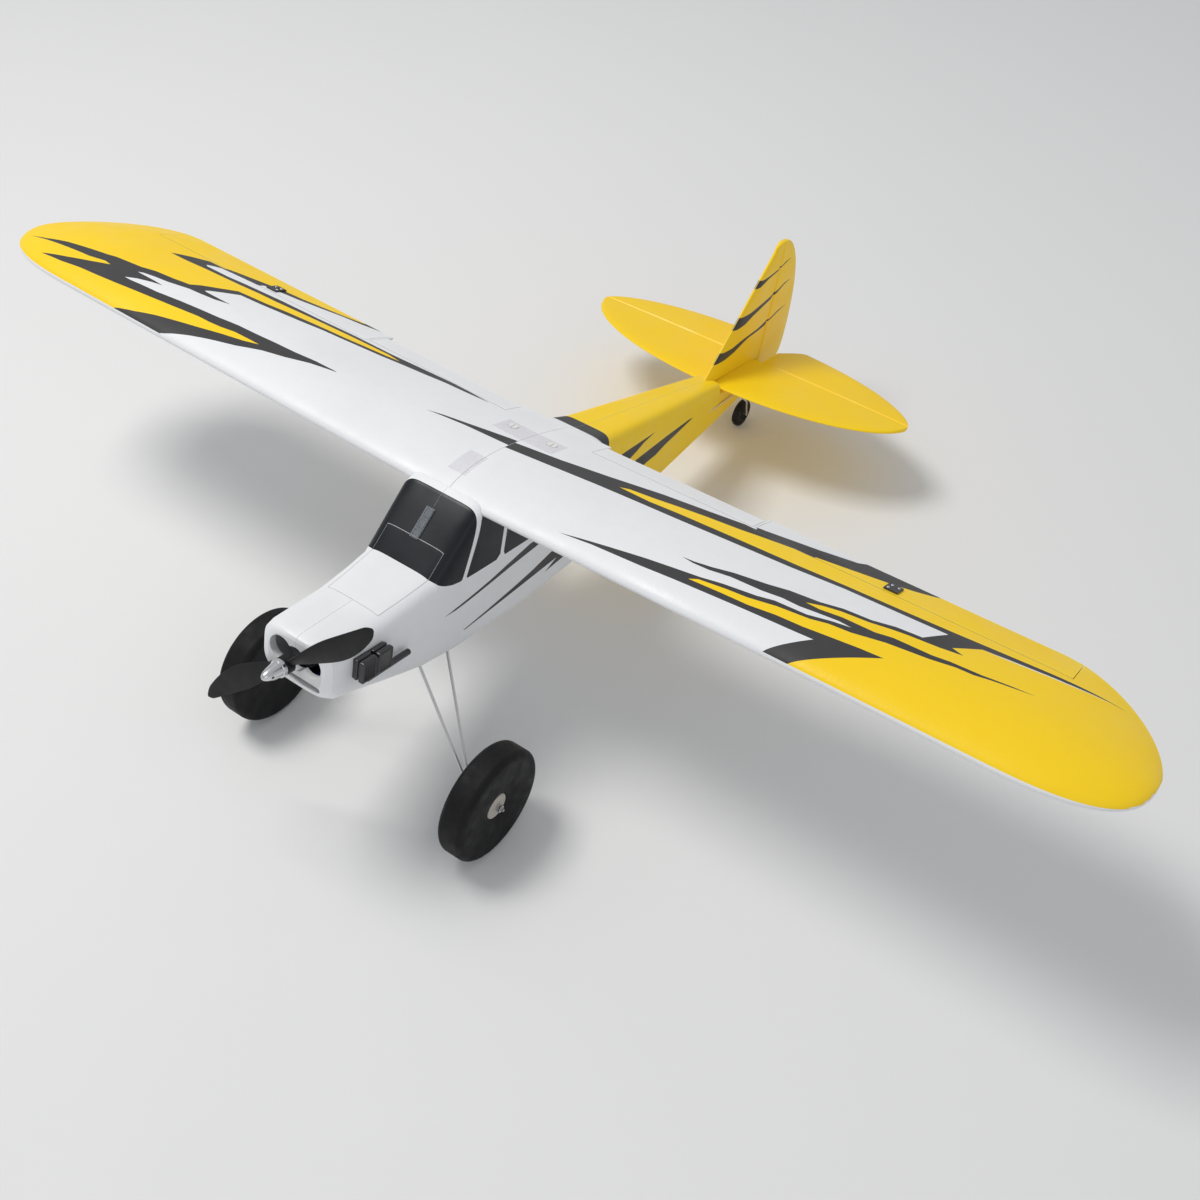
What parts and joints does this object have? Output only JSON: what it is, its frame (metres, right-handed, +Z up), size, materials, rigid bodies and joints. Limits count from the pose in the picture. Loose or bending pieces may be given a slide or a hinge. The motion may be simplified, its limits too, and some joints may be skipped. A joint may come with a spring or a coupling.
{
  "type": "radio-controlled foam airplane",
  "caption": "High-wing tail-dragger foam model airplane with hinged control surfaces, battery hatch, propeller and large foam tyres on wire legs.",
  "frame": {"origin": "on the ground, under the middle of the airplane standing on its three wheels", "axes": "+X towards the left wing tip, +Y towards the tail, +Z up"},
  "size_m": [1.299, 0.9198, 0.3281],
  "materials": {
    "foam_white": "moulded foam, painted white, with painted stripes",
    "foam_yellow": "moulded foam, painted yellow",
    "black_plastic": "moulded nylon",
    "engine_plastic": "vacuum-formed semi-gloss plastic",
    "prop_plastic": "glass-filled nylon, satin",
    "servo_case": "smoked plastic case",
    "clear_plastic": "clear moulded plastic",
    "nylon": "natural nylon",
    "steel": "spring steel wire",
    "aluminium": "turned aluminium",
    "motor_black": "anodised black",
    "tyre_foam": "moulded foam tyre",
    "hub_plastic": "grey moulded plastic",
    "blue_wrap": "heat-shrink film",
    "strap": "hook-and-loop webbing",
    "plywood": "thin plywood",
    "carbon": "wound carbon tube"
  },
  "bodies": {
    "airframe": {"fuselage_left": "foam_white", "fuselage_right": "foam_white", "wing_left": "foam_white", "wing_right": "foam_white", "wing_joiner": "carbon", "wing_bolt_left": "nylon", "wing_bolt_right": "nylon", "aileron_servo_left": "servo_case", "aileron_servo_right": "servo_case", "stabiliser": "foam_yellow", "fin": "foam_yellow", "equipment_tray": "plywood", "elevator_servo": "servo_case", "rudder_servo": "servo_case", "battery": "blue_wrap", "battery_strap": "strap", "receiver": "black_plastic", "esc": "blue_wrap", "motor_mount": "black_plastic", "motor_base": "aluminium", "dummy_engine": "engine_plastic", "gear_leg_left": "steel", "gear_leg_right": "steel", "gear_plate": "black_plastic", "axle_collar_left": "aluminium", "axle_collar_right": "aluminium"},
    "hatch": {"battery_hatch": "foam_white"},
    "latch": {"hatch_latch": "clear_plastic"},
    "power": {"motor_bell": "motor_black", "propeller": "prop_plastic", "prop_nut": "aluminium"},
    "wheel_left": {"tyre_left": "tyre_foam", "wheel_hub_left": "hub_plastic"},
    "wheel_right": {"tyre_right": "tyre_foam", "wheel_hub_right": "hub_plastic"},
    "tail_swivel": {"tail_gear": "steel"},
    "tail_roller": {"tail_wheel": "tyre_foam"},
    "rudder_panel": {"rudder": "foam_yellow", "rudder_horn": "black_plastic"},
    "rudder_push": {"rudder_rod": "steel"},
    "rudder_crank": {"rudder_arm": "nylon"},
    "elevator_panel": {"elevator_left": "foam_yellow", "elevator_right": "foam_yellow", "elevator_joiner": "steel", "elevator_horn": "black_plastic"},
    "elevator_push": {"elevator_rod": "steel"},
    "elevator_crank": {"elevator_arm": "nylon"},
    "aileron_panel_left": {"aileron_left": "foam_yellow", "aileron_horn_left": "black_plastic", "horn_plate_left": "black_plastic"},
    "aileron_panel_right": {"aileron_right": "foam_yellow", "aileron_horn_right": "black_plastic", "horn_plate_right": "black_plastic"},
    "aileron_crank_left": {"aileron_arm_left": "nylon"},
    "aileron_crank_right": {"aileron_arm_right": "nylon"},
    "aileron_push_left": {"aileron_rod_left": "steel"},
    "aileron_push_right": {"aileron_rod_right": "steel"},
    "flap_panel_left": {"flap_left": "foam_white"},
    "flap_panel_right": {"flap_right": "foam_white"}
  },
  "joints": [
    {"name": "propeller_spin", "type": "hinge", "parent": "airframe", "child": "power", "pos_m": [0, -0.433, 0.23998], "axis": [0, -0.9755, 0.2199], "continuous": true},
    {"name": "wheel_left_spin", "type": "hinge", "parent": "airframe", "child": "wheel_left", "pos_m": [0.1415, -0.34094, 0.05993], "axis": [1, 0, 0], "continuous": true},
    {"name": "wheel_right_spin", "type": "hinge", "parent": "airframe", "child": "wheel_right", "pos_m": [-0.1415, -0.34094, 0.05993], "axis": [1, 0, 0], "continuous": true},
    {"name": "aileron_left_hinge", "type": "hinge", "parent": "airframe", "child": "aileron_panel_left", "pos_m": [0.396, -0.06512, 0.26671], "axis": [0.9998, 0.0044, 0.0195], "range_deg": [-18, 18]},
    {"name": "aileron_right_hinge", "type": "hinge", "parent": "airframe", "child": "aileron_panel_right", "pos_m": [-0.396, -0.06512, 0.26671], "axis": [0.9998, -0.0044, -0.0195], "range_deg": [-19, 19]},
    {"name": "aileron_left_servo", "type": "hinge", "parent": "airframe", "child": "aileron_crank_left", "pos_m": [0.3777, -0.1101, 0.26725], "axis": [1, 0, 0], "range_deg": [-36, 36]},
    {"name": "aileron_right_servo", "type": "hinge", "parent": "airframe", "child": "aileron_crank_right", "pos_m": [-0.3777, -0.1101, 0.26725], "axis": [1, 0, 0], "range_deg": [-36, 36]},
    {"name": "aileron_left_rod_slide", "type": "slide", "parent": "airframe", "child": "aileron_push_left", "axis": [0, 0.9755, -0.2199], "range_m": [-0.009, 0.009]},
    {"name": "aileron_right_rod_slide", "type": "slide", "parent": "airframe", "child": "aileron_push_right", "axis": [0, 0.9755, -0.2199], "range_m": [-0.009, 0.009]},
    {"name": "flap_left_hinge", "type": "hinge", "parent": "airframe", "child": "flap_panel_left", "pos_m": [0.1455, -0.06067, 0.25915], "axis": [-0.9998, -0.0044, -0.0195], "range_deg": [0, 30]},
    {"name": "flap_right_hinge", "type": "hinge", "parent": "airframe", "child": "flap_panel_right", "pos_m": [-0.1455, -0.06067, 0.25915], "axis": [-0.9998, 0.0044, 0.0195], "range_deg": [0, 31]},
    {"name": "elevator_hinge", "type": "hinge", "parent": "airframe", "child": "elevator_panel", "pos_m": [0, 0.36748, 0.0985], "axis": [1, 0, 0], "range_deg": [-20, 20]},
    {"name": "elevator_rod_slide", "type": "slide", "parent": "airframe", "child": "elevator_push", "axis": [-0.0113, 0.9848, -0.1735], "range_m": [-0.007, 0.007]},
    {"name": "elevator_servo_turn", "type": "hinge", "parent": "airframe", "child": "elevator_crank", "pos_m": [0.014, -0.15195, 0.17253], "axis": [0, 0.2199, 0.9755], "range_deg": [-40, 40]},
    {"name": "rudder_hinge", "type": "hinge", "parent": "airframe", "child": "rudder_panel", "pos_m": [0, 0.38921, 0.14486], "axis": [0, 0.2199, 0.9755], "range_deg": [-20, 20]},
    {"name": "rudder_rod_slide", "type": "slide", "parent": "airframe", "child": "rudder_push", "axis": [0.0122, 0.9823, -0.1869], "range_m": [-0.0085, 0.0085]},
    {"name": "rudder_servo_turn", "type": "hinge", "parent": "airframe", "child": "rudder_crank", "pos_m": [-0.014, -0.15195, 0.17253], "axis": [0, 0.2199, 0.9755], "range_deg": [-50, 50]},
    {"name": "tail_wheel_steer", "type": "hinge", "parent": "airframe", "child": "tail_swivel", "pos_m": [0, 0.35271, 0.0557], "axis": [0, 0.2199, 0.9755], "range_deg": [-21, 21]},
    {"name": "tail_wheel_spin", "type": "hinge", "parent": "tail_swivel", "child": "tail_roller", "pos_m": [0, 0.36369, 0.01801], "axis": [1, 0, 0], "continuous": true},
    {"name": "hatch_hinge", "type": "hinge", "parent": "airframe", "child": "hatch", "pos_m": [0, -0.34798, 0.24973], "axis": [1, 0, 0], "range_deg": [0, 70]},
    {"name": "latch_slide", "type": "slide", "parent": "hatch", "child": "latch", "axis": [0, -0.8271, -0.5621], "range_m": [0, 0.006]}
  ],
  "couplings": [
    {"joint": "aileron_right_hinge", "follows": "aileron_left_hinge", "ratio": -1},
    {"joint": "aileron_left_servo", "follows": "aileron_left_hinge", "ratio": 1.6952},
    {"joint": "aileron_right_servo", "follows": "aileron_left_hinge", "ratio": -1.6952},
    {"joint": "aileron_left_rod_slide", "follows": "aileron_left_hinge", "m_per_rad": 0.02204},
    {"joint": "aileron_right_rod_slide", "follows": "aileron_left_hinge", "m_per_rad": -0.02204},
    {"joint": "flap_right_hinge", "follows": "flap_left_hinge", "ratio": 1},
    {"joint": "elevator_rod_slide", "follows": "elevator_hinge", "m_per_rad": 0.0158},
    {"joint": "elevator_servo_turn", "follows": "elevator_hinge", "ratio": 1.7556},
    {"joint": "rudder_rod_slide", "follows": "rudder_hinge", "m_per_rad": -0.0165},
    {"joint": "rudder_servo_turn", "follows": "rudder_hinge", "ratio": 1.8333},
    {"joint": "tail_wheel_steer", "follows": "rudder_hinge", "ratio": 1}
  ]
}
